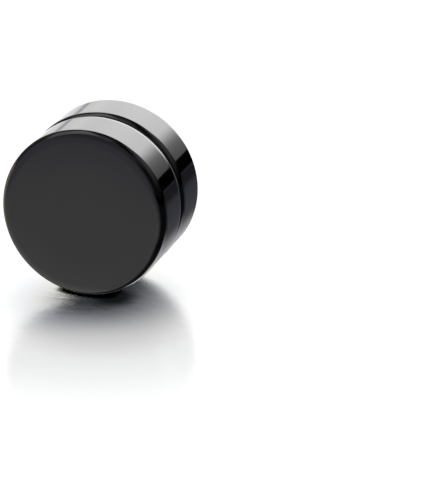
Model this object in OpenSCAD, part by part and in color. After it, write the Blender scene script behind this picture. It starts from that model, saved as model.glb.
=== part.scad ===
/* [Discs] */
// Diameter of both discs
disc_d = 8; // [6.5:0.5:14]
// Thickness of the front disc
front_t = 2.7; // [2:0.1:5]
// Thickness of the back disc
back_t = 2.7; // [2:0.1:5]
// Radius of the rounded edge at the front of each disc
front_edge_r = 0.5; // [0.1:0.05:0.8]
// Radius of the crisp edge at the rear of the front disc, beside the gap
gap_edge_r = 0.1; // [0.05:0.01:0.4]
// Radius of the softened edge at the rear of the back disc
rear_edge_r = 0.3; // [0.05:0.05:0.8]

/* [Magnets] */
// Diameter of each magnet
magnet_d = 5; // [3:0.1:6]
// Thickness of each magnet
magnet_t = 1.5; // [0.8:0.1:1.8]
// Gap between a magnet's rim and the wall of its recess
magnet_clear = 0.03; // [0.01:0.01:0.1]
// Depth of a magnet's face below the face that it looks out of
magnet_inset = 0.02; // [0:0.01:0.1]

/* [Fit] */
// Gap between the two discs when the magnets hold them together
mate_gap = 0.02; // [0.01:0.01:0.2]

/* [Hidden] */
$fn = 96;

disc_r = disc_d / 2;
magnet_r = magnet_d / 2;
recess_r = magnet_r + magnet_clear;
recess_depth = magnet_t + magnet_inset;

// The middle of the gap between the discs is at Y = 0: the front disc lies towards -Y
front_disc_y = -mate_gap / 2 - front_t;
back_disc_y = mate_gap / 2;

// Stands a turned piece on its rim: its axis runs along Y, its start is at y
// and the discs touch the ground at Z = 0
module upright(y) {
    translate([0, y, disc_r])
        rotate([-90, 0, 0])
            children();
}

// Half section of a disc of thickness t, drawn from the axis outwards, with
// the radius of its rear edge
module disc_section(t, back_r) {
    square([disc_r - front_edge_r, t - back_r]);
    translate([0, front_edge_r])
        square([disc_r - back_r, t - front_edge_r]);
    translate([0, front_edge_r])
        square([disc_r, t - front_edge_r - back_r]);
    translate([disc_r - front_edge_r, front_edge_r])
        circle(r = front_edge_r);
    translate([disc_r - back_r, t - back_r])
        circle(r = back_r);
}

// Cuts the blind recess for a magnet: as deep below the face at z as above it,
// so it serves a recess that opens upwards or downwards
module recess(z) {
    translate([0, 0, z - recess_depth])
        cylinder(r = recess_r, h = 2 * recess_depth);
}

// A disc with its front face at Z = 0
module disc(t, back_r) {
    rotate_extrude()
        disc_section(t, back_r);
}

module magnet() {
    cylinder(r = magnet_r, h = magnet_t);
}

module front_disc() {
    color("#2b2b2f")
        upright(front_disc_y)
            difference() {
                disc(front_t, gap_edge_r);
                recess(front_t);
            }
}

module front_magnet() {
    color("silver")
        upright(-mate_gap / 2 - recess_depth)
            magnet();
}

module back_disc() {
    color("#232327")
        upright(back_disc_y)
            difference() {
                disc(back_t, rear_edge_r);
                recess(0);
            }
}

module back_magnet() {
    color("silver")
        upright(back_disc_y + magnet_inset)
            magnet();
}

front_disc();
front_magnet();
back_disc();
back_magnet();
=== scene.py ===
from math import cos, degrees, pi, radians, sin

import bmesh
import bpy
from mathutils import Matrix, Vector


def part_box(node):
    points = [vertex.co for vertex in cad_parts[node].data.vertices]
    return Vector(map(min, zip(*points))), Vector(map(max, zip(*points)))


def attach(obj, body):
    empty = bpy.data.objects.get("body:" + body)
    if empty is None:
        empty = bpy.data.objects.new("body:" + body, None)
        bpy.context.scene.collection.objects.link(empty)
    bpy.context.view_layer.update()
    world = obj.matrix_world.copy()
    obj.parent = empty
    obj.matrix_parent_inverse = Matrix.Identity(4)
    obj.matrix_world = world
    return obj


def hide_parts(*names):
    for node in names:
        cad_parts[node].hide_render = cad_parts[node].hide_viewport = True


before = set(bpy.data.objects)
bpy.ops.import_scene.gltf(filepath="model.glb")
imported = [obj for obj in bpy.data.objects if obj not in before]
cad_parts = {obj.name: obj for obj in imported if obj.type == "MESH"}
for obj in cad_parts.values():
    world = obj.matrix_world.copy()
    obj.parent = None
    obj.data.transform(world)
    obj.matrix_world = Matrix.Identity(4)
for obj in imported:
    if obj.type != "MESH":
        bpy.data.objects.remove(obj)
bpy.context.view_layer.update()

print("frame loaded:", ", ".join(sorted(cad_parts)))

mm = 0.001
scene = bpy.context.scene

# Where the earring stands: the discs' shared axis runs along Y, level with their middle
discLow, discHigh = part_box("front_disc")
axisHeight = (discLow.z + discHigh.z) / 2
discRadius = min(discHigh.x - discLow.x, discHigh.z - discLow.z) / 2
axisPoint = Vector((0, 0, axisHeight))


# Node trees: an input takes a value, or the socket that feeds it

def feed(tree, taker, value):
    if isinstance(value, bpy.types.NodeSocket):
        tree.links.new(value, taker)
    else:
        taker.default_value = value


def addNode(tree, kind, inputs=None, **props):
    node = tree.nodes.new(kind)
    for name, value in props.items():
        setattr(node, name, value)
    for key, value in (inputs or {}).items():
        feed(tree, node.inputs[key], value)
    return node


def maths(tree, operation, a, b=0.0, c=0.0):
    values = {0: a, 1: b, 2: c}
    return addNode(tree, "ShaderNodeMath", values, operation=operation).outputs[0]


def wholeMaths(tree, operation, a, b):
    return addNode(tree, "FunctionNodeIntegerMath", {0: a, 1: b}, operation=operation).outputs[0]


def vectorMaths(tree, operation, a, b=(0, 0, 0), c=(0, 0, 0)):
    values = {0: a, 1: b, 2: c}
    return addNode(tree, "ShaderNodeVectorMath", values, operation=operation).outputs[0]


def scaled(tree, vector, factor):
    values = {0: vector, "Scale": factor}
    return addNode(tree, "ShaderNodeVectorMath", values, operation="SCALE").outputs[0]


def lengthOf(tree, vector):
    return addNode(tree, "ShaderNodeVectorMath", {0: vector}, operation="LENGTH").outputs["Value"]


def axesOf(tree, vector):
    return addNode(tree, "ShaderNodeSeparateXYZ", {0: vector}).outputs


def joined(tree, x=0.0, y=0.0, z=0.0):
    return addNode(tree, "ShaderNodeCombineXYZ", {"X": x, "Y": y, "Z": z}).outputs[0]


def smoothStep(tree, value, none, full):  # 0 at none, 1 at full, whichever is the higher
    values = {"Value": value, "From Min": none, "From Max": full}
    return addNode(tree, "ShaderNodeMapRange", values, interpolation_type="SMOOTHSTEP").outputs[0]


def mixColours(tree, factor, low, high):
    values = {"Factor": factor, 6: low, 7: high}
    return addNode(tree, "ShaderNodeMix", values, data_type="RGBA").outputs[2]


# Materials

def newMaterial(name):
    material = bpy.data.materials.new(name)
    material.use_nodes = True
    tree = material.node_tree
    shader = tree.nodes["Principled BSDF"]
    place = addNode(tree, "ShaderNodeTexCoord").outputs["Object"]
    return material, tree, shader, place


def stretched(tree, place, scale):
    return addNode(tree, "ShaderNodeMapping", {"Vector": place, "Scale": scale}).outputs[0]


def noise(tree, vector, scale, detail, roughness=0.5):
    values = {"Vector": vector, "Scale": scale, "Detail": detail, "Roughness": roughness}
    return addNode(tree, "ShaderNodeTexNoise", values).outputs["Fac"]


def brushing(tree, place, perMetre):  # a noise drawn out into lines
    return noise(tree, stretched(tree, place, perMetre), 1, detail=3, roughness=0.6)


noiseMiddle = 0.5
noiseSpan = (0.3, 0.7)  # most of a noise lies between these


def between(tree, factor, low, high):  # a number that swings from low to high with a noise
    start, end = noiseSpan
    values = {"Value": factor, "From Min": start, "From Max": end, "To Min": low, "To Max": high}
    return addNode(tree, "ShaderNodeMapRange", values).outputs[0]


def bumped(tree, shader, height, strength, depth):
    values = {"Height": height, "Strength": strength, "Distance": depth}
    bump = addNode(tree, "ShaderNodeBump", values).outputs[0]
    tree.links.new(bump, shader.inputs["Normal"])


satinLook = {
    "dark": (0.078, 0.078, 0.079, 1),
    "light": (0.082, 0.082, 0.082, 1),
    "roughness": (0.24, 0.28),
    "grain": 14000,  # per metre: the blasted grain
    "grainDepth": 0.00001 * mm,
    "grainStrength": 0.25,
    "cloud": 700,  # per metre: a faint change of tone
}


def satinMaterial(look):
    material, tree, shader, place = newMaterial("satinPlating")
    cloud = noise(tree, place, look["cloud"], detail=2)
    grain = noise(tree, place, look["grain"], detail=2, roughness=0.6)
    shader.inputs["Metallic"].default_value = 1
    tree.links.new(mixColours(tree, cloud, look["dark"], look["light"]), shader.inputs["Base Color"])
    tree.links.new(between(tree, grain, *look["roughness"]), shader.inputs["Roughness"])
    bumped(tree, shader, grain, look["grainStrength"], look["grainDepth"])
    return material


polishLook = {
    "colour": (0.08, 0.08, 0.082, 1),
    "roughness": (0.04, 0.07),
    "lines": (300, 24000, 300),  # per metre: polishing lines that run round the rim
    "ripple": 260,  # per metre: a slight waviness
    "rippleDepth": 0.0006 * mm,
    "rippleStrength": 0.5,
}


def polishMaterial(look):
    material, tree, shader, place = newMaterial("polishedPlating")
    lines = brushing(tree, place, look["lines"])
    ripple = noise(tree, place, look["ripple"], detail=1)
    shader.inputs["Base Color"].default_value = look["colour"]
    shader.inputs["Metallic"].default_value = 1
    tree.links.new(between(tree, lines, *look["roughness"]), shader.inputs["Roughness"])
    bumped(tree, shader, ripple, look["rippleStrength"], look["rippleDepth"])
    return material


steelLook = {
    "colour": (0.48, 0.47, 0.45, 1),
    "roughness": (0.28, 0.4),
    "lines": (400, 20000, 400),  # per metre: turning lines
}


def steelMaterial(look):
    material, tree, shader, place = newMaterial("turnedSteel")
    lines = brushing(tree, place, look["lines"])
    shader.inputs["Base Color"].default_value = look["colour"]
    shader.inputs["Metallic"].default_value = 1
    tree.links.new(between(tree, lines, *look["roughness"]), shader.inputs["Roughness"])
    return material


nickelLook = {
    "colour": (0.66, 0.63, 0.58, 1),
    "roughness": (0.16, 0.26),
    "speckle": 9000,  # per metre
}


def nickelMaterial(look):
    material, tree, shader, place = newMaterial("nickelPlating")
    speckle = noise(tree, place, look["speckle"], detail=4, roughness=0.6)
    shader.inputs["Base Color"].default_value = look["colour"]
    shader.inputs["Metallic"].default_value = 1
    tree.links.new(between(tree, speckle, *look["roughness"]), shader.inputs["Roughness"])
    return material


satin = satinMaterial(satinLook)
polish = polishMaterial(polishLook)
steel = steelMaterial(steelLook)
nickel = nickelMaterial(nickelLook)
print("materials made")


# The discs: a half section is drawn by its corners, filleted, and swept round the axis

seamGap = 0.0001 * mm  # points closer than this are one point
faceShare = 0.25  # of the thickness: the outer face lies within it, the recess deeper


def discTree():
    tree = bpy.data.node_groups.new("turnedDisc", "GeometryNodeTree")
    sizes = [
        "Radius", "Thickness", "Outer Edge", "Inner Edge", "Taper Length", "Taper Drop",
        "Taper Blend", "Recess Radius", "Recess Depth", "Mouth Edge", "Crown Start", "Crown Drop",
        "Crown Blend", "Flat Margin", "Satin Radius", "Face Y", "Inward", "Axis Height",
    ]
    for name in sizes:
        tree.interface.new_socket(name=name, in_out="INPUT", socket_type="NodeSocketFloat")
    for name in ("Steps Around", "Steps In Edge"):
        tree.interface.new_socket(name=name, in_out="INPUT", socket_type="NodeSocketInt")
    for name in ("Satin", "Polish", "Steel"):
        tree.interface.new_socket(name=name, in_out="INPUT", socket_type="NodeSocketMaterial")
    tree.interface.new_socket(name="Disc", in_out="OUTPUT", socket_type="NodeSocketGeometry")
    given = addNode(tree, "NodeGroupInput").outputs

    # Corners of the half section: X is the distance from the axis, Y the depth from the outer face.
    # A corner with no fillet, just past a rounded edge, keeps the flat beside it flat when shaded
    margin = given["Flat Margin"]
    radius, thickness, recessRadius = given["Radius"], given["Thickness"], given["Recess Radius"]
    recessFloor = maths(tree, "SUBTRACT", thickness, given["Recess Depth"])
    outerBand = maths(tree, "ADD", given["Outer Edge"], margin)
    innerBand = maths(tree, "ADD", given["Inner Edge"], margin)
    taperStart = maths(tree, "SUBTRACT", thickness, given["Taper Length"])
    lipRadius = maths(tree, "SUBTRACT", radius, given["Taper Drop"])
    mouthBand = maths(tree, "ADD", given["Mouth Edge"], margin)
    corners = [  # radius, depth, fillet
        (0.0, 0.0, 0.0),
        (given["Crown Start"], 0.0, given["Crown Blend"]),
        (radius, given["Crown Drop"], given["Outer Edge"]),
        (radius, maths(tree, "ADD", given["Crown Drop"], outerBand), 0.0),
        (radius, maths(tree, "SUBTRACT", taperStart, given["Taper Length"]), 0.0),
        (radius, taperStart, given["Taper Blend"]),
        (lipRadius, thickness, given["Inner Edge"]),
        (maths(tree, "SUBTRACT", lipRadius, innerBand), thickness, 0.0),
        (maths(tree, "ADD", recessRadius, mouthBand), thickness, 0.0),
        (recessRadius, thickness, given["Mouth Edge"]),
        (recessRadius, maths(tree, "SUBTRACT", thickness, mouthBand), 0.0),
        (recessRadius, maths(tree, "ADD", recessFloor, mouthBand), 0.0),
        (recessRadius, recessFloor, given["Mouth Edge"]),
        (maths(tree, "SUBTRACT", recessRadius, mouthBand), recessFloor, 0.0),
        (0.0, recessFloor, 0.0),
    ]
    index = addNode(tree, "GeometryNodeInputIndex").outputs[0]

    def pick(column):  # one column of the corners, by the point's index
        switch = addNode(tree, "GeometryNodeIndexSwitch", {"Index": index}, data_type="FLOAT")
        while len(switch.index_switch_items) < len(corners):
            switch.index_switch_items.new()
        for row, corner in enumerate(corners):
            feed(tree, switch.inputs[row + 1], corner[column])
        return switch.outputs[0]

    values = {"Count": len(corners), "Position": joined(tree, pick(0), pick(1))}
    dots = addNode(tree, "GeometryNodePoints", values).outputs[0]
    outline = addNode(tree, "GeometryNodePointsToCurves", {"Points": dots}).outputs[0]
    values = {"Curve": outline, "Count": given["Steps In Edge"], "Radius": pick(2), "Limit Radius": True}
    section = addNode(tree, "GeometryNodeFilletCurve", values, mode="POLY").outputs[0]

    # A grid of one column for each turn step and one row for each point of the section
    counted = addNode(tree, "GeometryNodeAttributeDomainSize", {0: section}, component="CURVE")
    rows = counted.outputs["Point Count"]
    columns = wholeMaths(tree, "ADD", given["Steps Around"], 1)
    values = {"Vertices X": columns, "Vertices Y": rows, "Size X": 1.0, "Size Y": 1.0}
    grid = addNode(tree, "GeometryNodeMeshGrid", values).outputs[0]
    column = wholeMaths(tree, "DIVIDE_FLOOR", index, rows)
    row = wholeMaths(tree, "MODULO", index, rows)
    here = addNode(tree, "GeometryNodeInputPosition").outputs[0]
    sampled = addNode(tree, "GeometryNodeSampleIndex", data_type="FLOAT_VECTOR", domain="POINT")
    tree.links.new(section, sampled.inputs["Geometry"])
    tree.links.new(here, sampled.inputs["Value"])
    tree.links.new(row, sampled.inputs["Index"])
    point = axesOf(tree, sampled.outputs[0])
    turn = maths(tree, "DIVIDE", column, given["Steps Around"])
    angle = maths(tree, "MULTIPLY", turn, 2 * pi)
    across = maths(tree, "MULTIPLY", point["X"], maths(tree, "COSINE", angle))
    along = maths(tree, "MULTIPLY_ADD", point["Y"], given["Inward"], given["Face Y"])
    up = maths(tree, "MULTIPLY_ADD", point["X"], maths(tree, "SINE", angle), given["Axis Height"])
    values = {"Geometry": grid, "Position": joined(tree, across, along, up)}
    turned = addNode(tree, "GeometryNodeSetPosition", values).outputs[0]
    values = {"Geometry": turned, "Distance": seamGap}
    closed = addNode(tree, "GeometryNodeMergeByDistance", values).outputs[0]
    smooth = addNode(tree, "GeometryNodeSetShadeSmooth", {"Geometry": closed}).outputs[0]

    # Finishes: satin on the outer face, bare steel in the recess, polish on the rest
    face = axesOf(tree, here)
    height = maths(tree, "SUBTRACT", face["Z"], given["Axis Height"])
    fromAxis = lengthOf(tree, joined(tree, face["X"], z=height))
    depth = maths(tree, "ABSOLUTE", maths(tree, "SUBTRACT", face["Y"], given["Face Y"]))
    shallow = maths(tree, "LESS_THAN", depth, maths(tree, "MULTIPLY", given["Thickness"], faceShare))
    onFace = maths(tree, "MULTIPLY", shallow, maths(tree, "LESS_THAN", fromAxis, given["Satin Radius"]))
    deep = maths(tree, "SUBTRACT", 1.0, shallow)
    inRecess = maths(tree, "MULTIPLY", deep, maths(tree, "LESS_THAN", fromAxis, given["Recess Radius"]))
    mesh = addNode(tree, "GeometryNodeRealizeInstances", {0: smooth}).outputs[0]
    for chosen, finish in ((True, "Polish"), (onFace, "Satin"), (inRecess, "Steel")):
        values = {"Geometry": mesh, "Selection": chosen, "Material": given[finish]}
        mesh = addNode(tree, "GeometryNodeSetMaterial", values).outputs[0]
    addNode(tree, "NodeGroupOutput", {"Disc": mesh})
    return tree


def plainMesh(name, tree, values):  # runs a tree on a new object and keeps the mesh that it makes
    maker = bpy.data.objects.new(name + "Maker", bpy.data.meshes.new(name))
    scene.collection.objects.link(maker)
    modifier = maker.modifiers.new("shape", "NODES")
    modifier.node_group = tree
    for item in tree.interface.items_tree:
        if item.in_out == "INPUT":
            modifier[item.identifier] = values[item.name]
    graph = bpy.context.evaluated_depsgraph_get()
    mesh = bpy.data.meshes.new_from_object(maker.evaluated_get(graph))
    mesh.name = name
    maker.modifiers.clear()
    bpy.data.objects.remove(maker)
    piece = bpy.data.objects.new(name, mesh)
    scene.collection.objects.link(piece)
    return piece


def faceOutwards(mesh, sharpAngle=40):
    form = bmesh.new()
    form.from_mesh(mesh)
    bmesh.ops.recalc_face_normals(form, faces=form.faces)
    form.to_mesh(mesh)
    form.free()
    mesh.set_sharp_from_angle(angle=radians(sharpAngle))


bothDiscs = {
    "proud": 0.009 * mm,  # how far each inner face stands out, to shut off light between the discs
    "recessClear": 0.03 * mm,  # between a magnet and its recess
    "mouthEdge": 0.04 * mm,
    "crownStart": 2.6 * mm,  # the face is flat to about here, then rolls off to the edge
    "crownDrop": 0.12 * mm,
    "crownBlend": 20 * mm,
    "flatMargin": 0.015 * mm,
    "satinRadius": 3.5 * mm,
    "stepsAround": 288,
    "stepsInEdge": 14,
}
frontDiscLook = {
    "outerEdge": 0.5 * mm,
    "innerEdge": 0.07 * mm,
    "taperLength": 0.26 * mm,  # the rim leans in before its crisp rear edge, which draws a light line
    "taperDrop": 0.055 * mm,
    "taperBlend": 1.0 * mm,
}
backDiscLook = {
    "outerEdge": 0.3 * mm,
    "innerEdge": 0.5 * mm,
    "taperLength": 0.55 * mm,  # no taper: this only keeps its corners clear of the rounded inner edge
    "taperDrop": 0.0,
    "taperBlend": 0.0,
}
turnedDisc = discTree()


def makeDisc(name, node, magnet, look, inward):
    low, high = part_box(node)
    magnetLow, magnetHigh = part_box(magnet)
    if inward > 0:
        outerY, recessFloor = low.y, magnetLow.y
    else:
        outerY, recessFloor = high.y, magnetHigh.y
    thickness = high.y - low.y + bothDiscs["proud"]
    values = {
        "Radius": discRadius,
        "Thickness": thickness,
        "Outer Edge": look["outerEdge"],
        "Inner Edge": look["innerEdge"],
        "Taper Length": look["taperLength"],
        "Taper Drop": look["taperDrop"],
        "Taper Blend": look["taperBlend"],
        "Recess Radius": (magnetHigh.z - magnetLow.z) / 2 + bothDiscs["recessClear"],
        "Recess Depth": thickness - abs(recessFloor - outerY),
        "Mouth Edge": bothDiscs["mouthEdge"],
        "Crown Start": bothDiscs["crownStart"],
        "Crown Drop": bothDiscs["crownDrop"],
        "Crown Blend": bothDiscs["crownBlend"],
        "Flat Margin": bothDiscs["flatMargin"],
        "Satin Radius": bothDiscs["satinRadius"],
        "Face Y": outerY,
        "Inward": inward,
        "Axis Height": axisHeight,
        "Steps Around": bothDiscs["stepsAround"],
        "Steps In Edge": bothDiscs["stepsInEdge"],
        "Satin": satin,
        "Polish": polish,
        "Steel": steel,
    }
    disc = plainMesh(name, turnedDisc, values)
    faceOutwards(disc.data)
    return disc


frontDisc = makeDisc("frontDisc", "front_disc", "front_magnet", frontDiscLook, 1.0)
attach(frontDisc, "front_half")
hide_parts("front_disc")
backDisc = makeDisc("backDisc", "back_disc", "back_magnet", backDiscLook, -1.0)
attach(backDisc, "back_half")
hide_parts("back_disc")
print("discs turned:", len(frontDisc.data.polygons), "and", len(backDisc.data.polygons), "faces")


# The magnets: plain round blocks with a small broken edge

magnetLook = {"edge": 0.06 * mm, "stepsAround": 192, "stepsInEdge": 3}


def makeMagnet(name, node, look):
    low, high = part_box(node)
    radius = (high.z - low.z) / 2
    form = bmesh.new()
    bmesh.ops.create_cone(
        form, cap_ends=True, segments=look["stepsAround"],
        radius1=radius, radius2=radius, depth=high.y - low.y,
    )
    rims = [edge for edge in form.edges if abs(edge.verts[0].co.z - edge.verts[1].co.z) < seamGap]
    bmesh.ops.bevel(
        form, geom=rims, offset=look["edge"], segments=look["stepsInEdge"], profile=0.5,
        affect="EDGES",
    )
    for corner in form.verts:  # lays the block's axis along Y, and the block in its recess
        x, y, z = corner.co
        corner.co = Vector((x, (low.y + high.y) / 2 + z, axisHeight - y))
    for side in form.faces:
        side.smooth = True
    mesh = bpy.data.meshes.new(name)
    form.to_mesh(mesh)
    form.free()
    faceOutwards(mesh)
    mesh.materials.append(nickel)
    magnet = bpy.data.objects.new(name, mesh)
    scene.collection.objects.link(magnet)
    return magnet


frontMagnet = makeMagnet("frontMagnet", "front_magnet", magnetLook)
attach(frontMagnet, "front_half")
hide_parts("front_magnet")
backMagnet = makeMagnet("backMagnet", "back_magnet", magnetLook)
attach(backMagnet, "back_half")
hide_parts("back_magnet")
print("magnets made")


# The floor: a pale sheet, clear near the earring, with a brushed mirror a little below its surface.
# A Reach or a Fade is two distances from the foot: where what it names begins, and where it is full.
# The near and the far Share are how much the floor mirrors, up to where in full, and where that ends

floorLook = {
    "halfSize": 0.6,
    "pale": (0.86, 0.87, 0.88, 1),
    "selfLit": 0.5,  # how much of the matt part glows by itself, which softens the shade on it
    "glow": (1.1, 1.1, 1.1, 1),
    "glowReach": (9 * mm, 6 * mm),  # within this it has no shade but the one drawn here
    # painted bluish light on the floor near the foot, fading out over footReach
    "footGlow": (0.86, 0.91, 1.04, 1),
    "footReach": (5.5 * mm, 1.5 * mm),
    "halo": 0.235,  # the painted shade around what it mirrors, which falls away from the light
    "haloReach": (5.4 * mm, 2.2 * mm),
    "haloFront": -5.5 * mm,
    "haloBack": -2.6 * mm,
    "haloTurn": -19,
    "darkAside": 1.4 * mm,  # the darkest painted shade, on the side away from the light
    "darkFront": -2.3 * mm,
    "darkBack": -2.1 * mm,
    "darkReach": (1.5 * mm, 0.4 * mm),
    "dark": 0.85,
    "contactSize": 0.33 * mm,  # a painted contact shadow where a disc touches the floor, in any pose, set by how open the floor is above it
    "contactSamples": 8,
    "contactShade": (0.88, 0.68),  # how open the floor is where the line begins, and where it is full
    "contactCover": (0.65, 0.48),  # the same for where it hides the mirror
    "mirrorDepth": 0.27 * mm,
    "mirrorNear": (0.8, 0.79, 0.75, 1),  # painted shade, where the earring shades the mirror at its foot
    "mirrorFar": (0.88, 0.88, 0.88, 1),
    "mirrorFade": (4.8 * mm, 0.8 * mm),
    "footFront": -2.2 * mm,  # the stretch of Y on which the earring stands, or may stand once open
    "footBack": 14 * mm,
    "closedBack": 2.0 * mm,  # where it ends while the earring is closed
    "shareAside": 0.3 * mm,
    "nearShare": (0.71, 0.9 * mm, 6.3 * mm),
    "farShare": (0.25, 6 * mm, 16 * mm),
    "streakShare": (0.97, 1.02),
    "brushed": (900, 3200, 1),  # per metre: streaks
    "fine": (240000, 240000, 1),  # per metre: a noise too fine to be seen
    "tilt": 0.15,  # how far the brushed streaks turn what the floor mirrors, near its foot
    "tiltReach": (9 * mm, 3 * mm),
    "fineSpread": (2.3 * mm, 1.5 * mm, 0),  # how far the fine noise tilts it, times the distance
    "fineNear": 3.1 * mm,  # the least distance that counts
}


def makeSheet(name, depth, half):
    corners = [(-half, -half, -depth), (half, -half, -depth), (half, half, -depth), (-half, half, -depth)]
    mesh = bpy.data.meshes.new(name)
    mesh.from_pydata(corners, [], [(0, 1, 2, 3)])
    sheet = bpy.data.objects.new(name, mesh)
    scene.collection.objects.link(sheet)
    sheet.visible_glossy = False  # the rim mirrors the studio, not the floor
    material, tree, shader, place = newMaterial(name + "Finish")
    tree.nodes.remove(shader)
    mesh.materials.append(material)
    return tree, place


def moved(tree, place, aside, turn=0.0):
    values = {"Vector": place, "Location": (-aside, 0, 0), "Rotation": (0, 0, radians(turn))}
    return addNode(tree, "ShaderNodeMapping", values).outputs[0]


def awayFrom(tree, place, front, back):  # the distance from the middle line between two values of Y
    axes = axesOf(tree, place)
    offMiddle = maths(tree, "ABSOLUTE", maths(tree, "SUBTRACT", axes["Y"], (front + back) / 2))
    beyond = maths(tree, "MAXIMUM", maths(tree, "SUBTRACT", offMiddle, (back - front) / 2), 0.0)
    return lengthOf(tree, joined(tree, axes["X"], beyond))


def lessBy(tree, shade, most):  # the share of the light that a shade leaves
    return maths(tree, "MULTIPLY_ADD", shade, -most, 1.0)


# Painted shade: the share of light that the halo leaves, on the floor's glow and on its mirror's colour
def paintedHaloKept(tree, place, look):
    turned = moved(tree, place, 0.0, look["haloTurn"])
    halo = smoothStep(tree, awayFrom(tree, turned, look["haloFront"], look["haloBack"]), *look["haloReach"])
    return lessBy(tree, halo, look["halo"])


def makeFloor(look):
    tree, place = makeSheet("floor", 0.0, look["halfSize"])
    closed = awayFrom(tree, place, look["footFront"], look["closedBack"])
    # Painted contact shadow: how open the floor is above it blackens its glow and hides its mirror
    values = {"Distance": look["contactSize"]}
    contact = addNode(tree, "ShaderNodeAmbientOcclusion", values, samples=look["contactSamples"])
    openAbove = contact.outputs["AO"]
    touched = smoothStep(tree, openAbove, *look["contactShade"])
    covered = smoothStep(tree, openAbove, *look["contactCover"])

    # How much of the mirror below shows
    away = awayFrom(tree, moved(tree, place, look["shareAside"]), look["footFront"], look["footBack"])
    share = 0.0
    for most, full, none in (look["nearShare"], look["farShare"]):
        share = maths(tree, "MULTIPLY_ADD", smoothStep(tree, away, none, full), most, share)
    streaks = brushing(tree, place, look["brushed"])
    share = maths(tree, "MULTIPLY", share, between(tree, streaks, *look["streakShare"]))
    share = maths(tree, "MULTIPLY", share, lessBy(tree, covered, 1.0))

    # The rest is white: partly matt, and partly glowing where the painted shades leave light
    # painted shade: darkest beside the foot, on the side away from the light
    darkest = awayFrom(tree, moved(tree, place, look["darkAside"]), look["darkFront"], look["darkBack"])
    darkest = smoothStep(tree, darkest, *look["darkReach"])
    kept = maths(tree, "MULTIPLY", paintedHaloKept(tree, place, look), lessBy(tree, touched, 1.0))
    kept = maths(tree, "MULTIPLY", kept, lessBy(tree, darkest, look["dark"]))
    # painted light: the floor's glow turns bluish near the foot
    atFoot = smoothStep(tree, closed, *look["footReach"])
    colour = mixColours(tree, atFoot, look["glow"], look["footGlow"])
    lit = addNode(tree, "ShaderNodeEmission", {"Color": colour, "Strength": kept}).outputs[0]
    matt = addNode(tree, "ShaderNodeBsdfDiffuse", {"Color": look["pale"]}).outputs[0]
    nearFoot = smoothStep(tree, closed, *look["glowReach"])
    soft = maths(tree, "MULTIPLY_ADD", nearFoot, 1 - look["selfLit"], look["selfLit"])
    soft = maths(tree, "MAXIMUM", soft, touched)
    white = addNode(tree, "ShaderNodeMixShader", {0: soft, 1: matt, 2: lit}).outputs[0]
    clear = addNode(tree, "ShaderNodeBsdfTransparent").outputs[0]
    fromBelow = addNode(tree, "ShaderNodeNewGeometry").outputs["Backfacing"]
    seenThrough = maths(tree, "MAXIMUM", share, fromBelow)
    sheet = addNode(tree, "ShaderNodeMixShader", {0: seenThrough, 1: white, 2: clear}).outputs[0]
    tree.links.new(sheet, tree.nodes["Material Output"].inputs["Surface"])


def makeFloorMirror(look):
    tree, place = makeSheet("floorMirror", look["mirrorDepth"], look["halfSize"])
    closed = awayFrom(tree, place, look["footFront"], look["closedBack"])

    # Its normal leans aside with the streaks, and every way with the fine noise
    streaks = brushing(tree, place, look["brushed"])
    strength = maths(tree, "MULTIPLY", smoothStep(tree, closed, *look["tiltReach"]), look["tilt"])
    aside = maths(tree, "MULTIPLY", maths(tree, "SUBTRACT", streaks, noiseMiddle), strength)
    values = {"Vector": stretched(tree, place, look["fine"]), "Scale": 1.0}
    fine = addNode(tree, "ShaderNodeTexNoise", values).outputs["Color"]
    swing = vectorMaths(tree, "SUBTRACT", fine, (noiseMiddle, noiseMiddle, noiseMiddle))
    distance = maths(tree, "MAXIMUM", closed, look["fineNear"])
    swing = scaled(tree, swing, maths(tree, "DIVIDE", 1.0, distance))
    leaning = vectorMaths(tree, "MULTIPLY_ADD", swing, look["fineSpread"], joined(tree, aside, z=1.0))

    # painted shade: the mirror's colour is darker near the foot
    shaded = smoothStep(tree, closed, *look["mirrorFade"])
    colour = mixColours(tree, shaded, look["mirrorFar"], look["mirrorNear"])
    # painted shade: the halo darkens the mirror's colour as well
    colour = scaled(tree, colour, paintedHaloKept(tree, place, look))
    values = {"Color": colour, "Roughness": 0.0, "Normal": leaning}
    bright = addNode(tree, "ShaderNodeBsdfAnisotropic", values).outputs[0]
    tree.links.new(bright, tree.nodes["Material Output"].inputs["Surface"])


makeFloor(floorLook)
makeFloorMirror(floorLook)


# The studio that the earring mirrors: a soft panel behind it, and cards and gaps that draw its edges.
# Each patch is painted over the ones before it. Its left and right edges are azimuths, which grow
# from +Y towards +X, and its low and high edges are heights above the horizon, all in degrees.
# An edge is two values: where the patch begins, and where it is full

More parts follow.
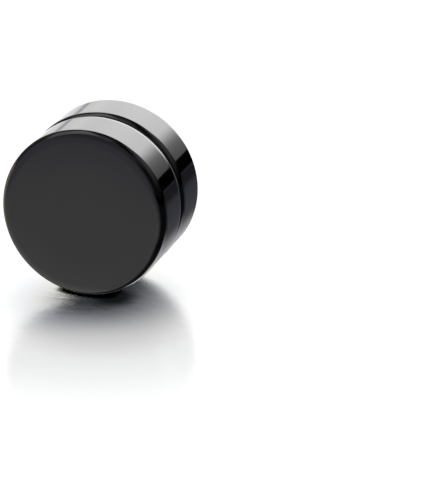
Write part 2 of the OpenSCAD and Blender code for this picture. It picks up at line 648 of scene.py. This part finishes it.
allRound = ((-181, -180), (181, 180))
toTheTop = (101, 100)
studio = {
    "ground": (0.5, 0.5, 0.5, 1),
    "pale": 1.25,  # what the floor and the camera see
    # For what is seen in two mirrors: an edge here is two values of the ray's X or Y, or two heights
    "twiceDepth": 2.5,  # a ray deeper than this has met both
    "aheadEdge": (-0.1, 0.2),
    "dimFloor": (0.15, 0.15, 0.16, 1),
    "litFloor": (1.3, 1.3, 1.3, 1),
    "litEdge": (0.1, 0.5),
    "sideFloor": (2.3, 2.3, 2.25, 1),
    "sideEdge": (-0.34, -0.42),
    "farSideEdge": (-0.64, -0.72),
    "floorHigh": (45, 35),
    # painted shade under the earring, for what is seen in two mirrors
    "underside": (0.02, 0.02, 0.02, 1),
    "undersideHigh": (-1, -7.5),
    "patches": [  # name, left edge, right edge, low edge, high edge, glow
        ("frontWall", *allRound, (-22, -6), toTheTop, (0.32, 0.31, 0.37, 1)),
        ("roomAbove", *allRound, (20, 60), toTheTop, (0.2, 0.2, 0.21, 1)),
        ("frontFloor", (-170, -150), (-60, -80), (-90, -70), (-20, -40), (0.68, 0.67, 0.65, 1)),
        ("shadeBelow", (-70, -40), (170, 130), (-95, -91), (-30, -36), (0.06, 0.06, 0.06, 1)),
        ("leftGap", (-98, -86), (40, 30), (-34, -28), (50, 36), (0.13, 0.12, 0.11, 1)),
        ("leftFloor", (-95, -86), (-50, -60), (-34, -28), (6, 0), (0.8, 0.68, 0.52, 1)),
        ("topGap", (-58, -50), (110, 70), (30, 36), (62, 56), (0.03, 0.03, 0.03, 1)),
        ("overhead", *allRound, (74, 86), toTheTop, (0.42, 0.42, 0.42, 1)),
        ("stripLight", (-112, -90), (-18, -34), (46, 54), (90, 78), (1.0, 0.98, 0.95, 1)),
        ("stripFoot", (-108, -92), (-44, -54), (32, 44), (60, 52), (0.75, 0.74, 0.72, 1)),
        ("darkSide", (24, 36), (165, 118), (-50, -40), (60, 30), (0.03, 0.03, 0.033, 1)),
        ("sideGap", (20, 36), (125, 95), (50, 56), (76, 68), (0.03, 0.03, 0.03, 1)),
        ("sideCard", (18, 34), (110, 50), (8, 30), (60, 44), (0.35, 0.35, 0.37, 1)),
        ("brightFloor", (-30.5, -28.5), (10, -28), (-28, -24), (6, 4.5), (1.3, 1.3, 1.28, 1)),
        ("grooveShade", (-60, -50), (-25.8, -27.5), (-34, -30), (-5, -8), (0.02, 0.02, 0.02, 1)),
        ("nearFloor", (-15, -11), (12, -10), (-36, -31), (-20, -24), (0.6, 0.61, 0.64, 1)),
        ("footShade", (-40, -28), (-8, -14), (-62, -48), (-24, -27), (0.08, 0.08, 0.08, 1)),
        ("darkFloor", (0, 14), (68, 42), (-46, -36), (-3, -5), (0.145, 0.15, 0.175, 1)),
        ("darkFloorFar", (0, 14), (56, 36), (-14, -9), (-3, -5), (0.06, 0.06, 0.075, 1)),
        ("rightFloor", (-3, 4), (74, 52), (-66, -58), (-24, -48), (2.7, 2.7, 2.8, 1)),
        ("panel", (-32, -29), (30, 16), (4.0, 5.0), (35, 30), (1.6, 1.6, 1.58, 1)),
        ("panelMiddle", (-38, 4), (23, 15), (4, 14), (35, 30), (4.0, 4.0, 3.95, 1)),
        ("lipGlow", (-23, -17), (14, 8), (-5, 1), (12, 8), (2.8, 2.8, 2.7, 1)),
        ("leftHorizon", (-34, -29), (-16, -24), (-1, 2), (5, 2.2), (0.7, 0.75, 0.82, 1)),
        ("horizon", (15, 20), (160, 118), (-3.8, -3.0), (5.0, 4.2), (0.003, 0.003, 0.003, 1)),
    ],
}


def makeStudio(look):
    world = bpy.data.worlds.new("studio")
    scene.world = world
    world.use_nodes = True
    world.cycles.sampling_method = "NONE"  # as a light, it couldn't tell one kind of ray from another
    tree = world.node_tree
    tree.nodes.clear()
    way = addNode(tree, "ShaderNodeTexCoord").outputs["Generated"]
    axes = axesOf(tree, way)
    rise = maths(tree, "MULTIPLY", maths(tree, "ARCSINE", axes["Z"]), degrees(1))
    glow = look["ground"]
    for name, left, right, low, high, colour in look["patches"]:
        middle = (left[1] + right[1]) / 2  # the way is turned by this, so no patch is cut at -Y
        values = {"Vector": way, "Angle": radians(middle)}
        spun = addNode(tree, "ShaderNodeVectorRotate", values, rotation_type="Z_AXIS").outputs[0]
        spunAxes = axesOf(tree, spun)
        turn = maths(tree, "ARCTAN2", spunAxes["X"], spunAxes["Y"])
        side = maths(tree, "MULTIPLY_ADD", turn, degrees(1), middle)
        inside = smoothStep(tree, side, *left)
        for value, edge in ((side, right), (rise, low), (rise, high)):
            inside = maths(tree, "MULTIPLY", inside, smoothStep(tree, value, *edge))
        glow = mixColours(tree, inside, glow, colour)
        glow.node.label = name

    # What is seen in two mirrors, the floor's first, has only a painted floor below it, lit and dim by
    # painted light and dark at the foot with painted shade
    ray = addNode(tree, "ShaderNodeLightPath").outputs
    twice = maths(tree, "GREATER_THAN", ray["Ray Depth"], look["twiceDepth"])
    ahead = maths(tree, "MULTIPLY", twice, smoothStep(tree, axes["Y"], *look["aheadEdge"]))
    rightward = smoothStep(tree, axes["X"], *look["litEdge"])
    leftward = smoothStep(tree, axes["X"], *look["sideEdge"])
    lit = mixColours(tree, rightward, look["dimFloor"], look["litFloor"])
    lit = mixColours(tree, leftward, lit, look["sideFloor"])
    farSide = maths(tree, "MULTIPLY", twice, smoothStep(tree, axes["X"], *look["farSideEdge"]))
    seenTwice = (
        (ahead, look["floorHigh"], lit),
        (twice, look["undersideHigh"], look["underside"]),
        (farSide, look["floorHigh"], look["sideFloor"]),
    )
    for seen, edges, below in seenTwice:
        shaded = maths(tree, "MULTIPLY", seen, smoothStep(tree, rise, *edges))
        glow = mixColours(tree, shaded, glow, below)
    mirrored = addNode(tree, "ShaderNodeBackground", {"Color": glow, "Strength": 1.0}).outputs[0]
    values = {"Color": (1, 1, 1, 1), "Strength": look["pale"]}
    pale = addNode(tree, "ShaderNodeBackground", values).outputs[0]
    # The camera and the floor see a pale room: the floor's mirror is sharp, the earring's isn't
    plain = maths(tree, "MAXIMUM", ray["Is Camera Ray"], ray["Is Diffuse Ray"])
    plain = maths(tree, "MAXIMUM", plain, ray["Is Singular Ray"])
    shown = addNode(tree, "ShaderNodeMixShader", {0: plain, 1: mirrored, 2: pale}).outputs[0]
    addNode(tree, "ShaderNodeOutputWorld", {"Surface": shown})


makeStudio(studio)
scene.view_settings.view_transform = "Standard"
print("floor and studio made")


# The camera, fitted to the outlines in the photograph, in its 435 x 495 frame

view = {
    "azimuth": 19.13,
    "elevation": 20.01,
    "distance": 160 * mm,
    "focalPixels": 3436,
    "frame": (435, 495),
    "axisPixel": (100.6, 197.0),  # where the axis crosses the gap between the discs
    "sensor": 36,
    "clip": (0.01, 5),
}


def makeCamera(look):
    turn, rise = radians(look["azimuth"]), radians(look["elevation"])
    back = Vector((sin(turn) * cos(rise), -cos(turn) * cos(rise), sin(rise)))
    data = bpy.data.cameras.new("camera")
    data.sensor_width = look["sensor"]
    data.lens = look["focalPixels"] / max(look["frame"]) * look["sensor"]
    data.clip_start, data.clip_end = look["clip"]
    camera = bpy.data.objects.new("camera", data)
    camera.location = axisPoint + back * look["distance"]
    across = (look["axisPixel"][0] - look["frame"][0] / 2) / look["focalPixels"]
    down = (look["axisPixel"][1] - look["frame"][1] / 2) / look["focalPixels"]
    seen = Vector((across, -down, -1)).normalized()
    aim = (-back).to_track_quat("-Z", "Y") @ seen.rotation_difference(Vector((0, 0, -1)))
    camera.rotation_mode = "QUATERNION"
    camera.rotation_quaternion = aim
    scene.collection.objects.link(camera)
    scene.camera = camera


makeCamera(view)
